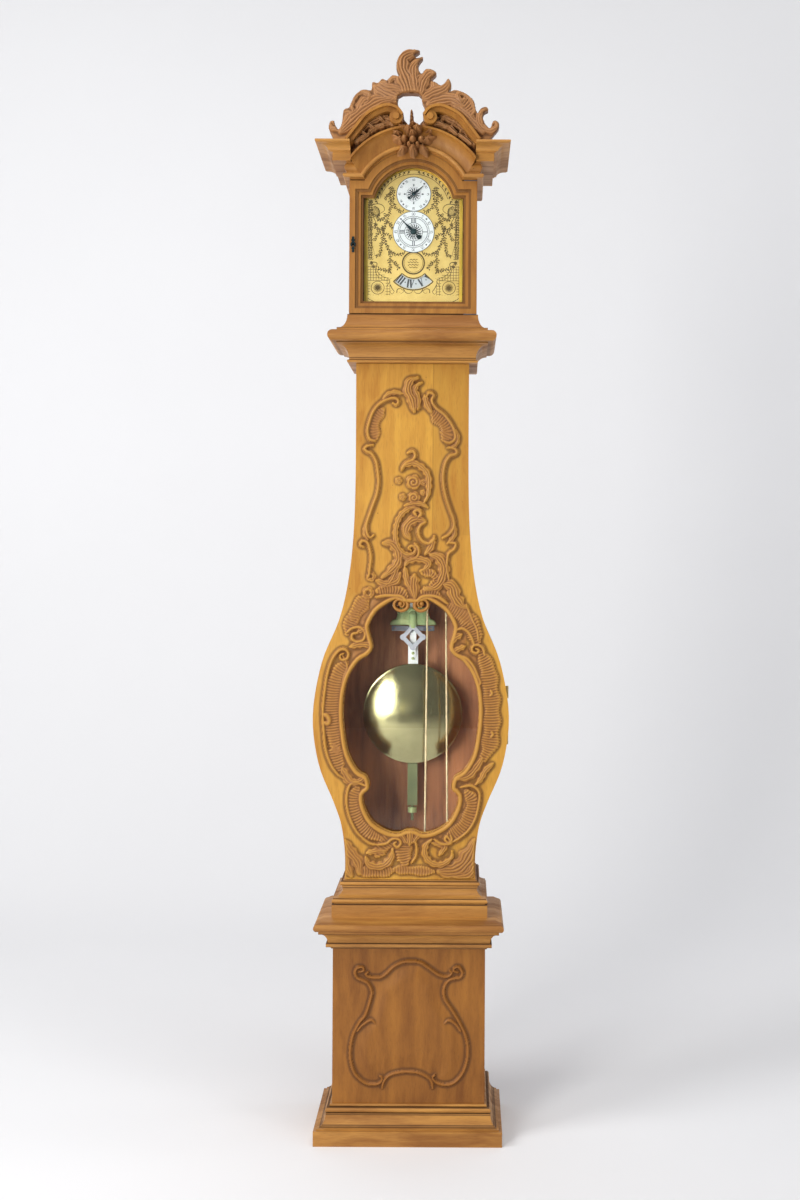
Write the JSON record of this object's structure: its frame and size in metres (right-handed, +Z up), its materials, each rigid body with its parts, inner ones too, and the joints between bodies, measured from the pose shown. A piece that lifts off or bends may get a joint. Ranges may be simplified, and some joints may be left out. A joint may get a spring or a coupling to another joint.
{
  "type": "longcase clock",
  "caption": "Longcase clock with a violin-shaped glazed waist, arched hood with carved scroll pediment, separate dials and a compensated pendulum.",
  "frame": {"origin": "Middle of the footprint on the floor, under the plinth.", "axes": "+Z up, +X to the viewer's right of the dial, -Y the front with the dial."},
  "size_m": [0.382, 0.236, 2.0977],
  "materials": {
    "honey_wood": "waxed",
    "light_wood": "waxed",
    "dark_wood": "carved and waxed",
    "inner_wood": "plain",
    "brass": "polished",
    "steel": "satin",
    "dark_steel": "dark",
    "blued_steel": "blued",
    "silvered": "silvered",
    "glass": "clear",
    "cord": "twisted gut"
  },
  "bodies": {
    "case": {"plinth_moulding": "honey_wood", "base_front": "light_wood", "base_sides": "honey_wood", "base_cornice": "honey_wood", "waist_foot": "honey_wood", "back_board": "inner_wood", "waist_sides": "honey_wood", "waist_rails": "honey_wood", "throat_moulding": "light_wood", "seat_board": "inner_wood", "hinge_plates": "brass", "dial_plate": "brass", "dial_bezel": "brass", "seconds_ring": "silvered", "minute_ring": "silvered", "movement_plates": "brass", "plate_pillars": "brass", "train_wheels": "brass", "back_cock": "brass", "weight_cord": "cord"},
    "waist_door": {"waist_door": "light_wood", "waist_glass": "glass", "waist_hinge_leaves": "brass", "waist_lock": "steel"},
    "waist_bolt": {"waist_bolt": "brass"},
    "hood": {"hood_base": "light_wood", "hood_sides": "honey_wood", "hood_roof": "inner_wood", "hood_head": "honey_wood", "hood_bead": "light_wood", "hood_frieze": "honey_wood", "hood_cornice": "light_wood", "swan_necks": "light_wood", "crest": "dark_wood", "pediment_flowers": "dark_wood"},
    "hood_door": {"hood_door": "honey_wood", "hood_glass": "glass", "hood_straps": "steel", "hood_escutcheon": "blued_steel", "hood_lock": "steel"},
    "hood_bolt": {"hood_bolt": "brass"},
    "minute_work": {"minute_hand": "blued_steel", "cannon_wheel": "brass"},
    "idler": {"minute_wheel": "brass"},
    "hour_work": {"hour_disc": "silvered"},
    "seconds_hand": {"seconds_hand": "blued_steel"},
    "pendulum": {"anchor": "steel", "suspension_spring": "steel", "pendulum_rod": "steel", "yoke": "brass", "bimetal_bar": "dark_steel", "lozenge": "steel", "bob": "brass"},
    "rating_nut": {"rating_nut": "brass"},
    "weight": {"pulley_stirrup": "steel", "weight": "brass", "cord_loop": "cord"},
    "pulley": {"pulley": "brass"},
    "barrel": {"barrel": "brass", "barrel_cord": "cord"}
  },
  "joints": [
    {"name": "waist_door_hinge", "type": "hinge", "parent": "case", "child": "waist_door", "pos_m": [0.1877, -0.0284, 0.8136], "axis": [0, 0, 1], "range_deg": [0, 100]},
    {"name": "waist_bolt_slide", "type": "slide", "parent": "waist_door", "child": "waist_bolt", "axis": [-1, 0, 0], "range_m": [0, 0.008]},
    {"name": "hood_slide", "type": "slide", "parent": "case", "child": "hood", "axis": [0, -1, 0], "range_m": [0, 0.2]},
    {"name": "hood_door_hinge", "type": "hinge", "parent": "hood", "child": "hood_door", "pos_m": [0.122, -0.058, 1.7], "axis": [0, 0, 1], "range_deg": [0, 100]},
    {"name": "hood_bolt_slide", "type": "slide", "parent": "hood_door", "child": "hood_bolt", "axis": [-1, 0, 0], "range_m": [0, 0.006]},
    {"name": "minute_turn", "type": "hinge", "parent": "case", "child": "minute_work", "pos_m": [0, -0.0335, 1.7582], "axis": [0, 1, 0], "continuous": true},
    {"name": "idler_turn", "type": "hinge", "parent": "case", "child": "idler", "pos_m": [0.01246, -0.02, 1.73769], "axis": [0, 1, 0], "continuous": true},
    {"name": "hour_turn", "type": "hinge", "parent": "case", "child": "hour_work", "pos_m": [0, -0.03, 1.698], "axis": [0, 1, 0], "continuous": true},
    {"name": "seconds_turn", "type": "hinge", "parent": "case", "child": "seconds_hand", "pos_m": [0, -0.0335, 1.832], "axis": [0, 1, 0], "continuous": true},
    {"name": "pendulum_swing", "type": "hinge", "parent": "case", "child": "pendulum", "pos_m": [0, 0.0645, 1.86311], "axis": [0, 1, 0], "range_deg": [-2, 2]},
    {"name": "rating_nut_turn", "type": "hinge", "parent": "pendulum", "child": "rating_nut", "pos_m": [0, 0.0685, 0.62], "axis": [0, 0, 1], "continuous": true},
    {"name": "weight_lift", "type": "slide", "parent": "case", "child": "weight", "axis": [0, 0, 1], "range_m": [0, 0.7], "deforming": ["weight_cord"]},
    {"name": "pulley_turn", "type": "hinge", "parent": "weight", "child": "pulley", "pos_m": [0.0495, 0.0095, 0.42], "axis": [0, 1, 0], "range_deg": [0, 1707]},
    {"name": "barrel_turn", "type": "hinge", "parent": "case", "child": "barrel", "pos_m": [0, 0.0095, 1.684], "axis": [0, 1, 0], "range_deg": [-2388, 0]}
  ],
  "couplings": [
    {"joint": "idler_turn", "follows": "minute_turn", "ratio": -1},
    {"joint": "hour_turn", "follows": "minute_turn", "ratio": 0.083333},
    {"joint": "pulley_turn", "follows": "weight_lift", "rad_per_m": 42.553},
    {"joint": "barrel_turn", "follows": "weight_lift", "rad_per_m": -59.524}
  ]
}
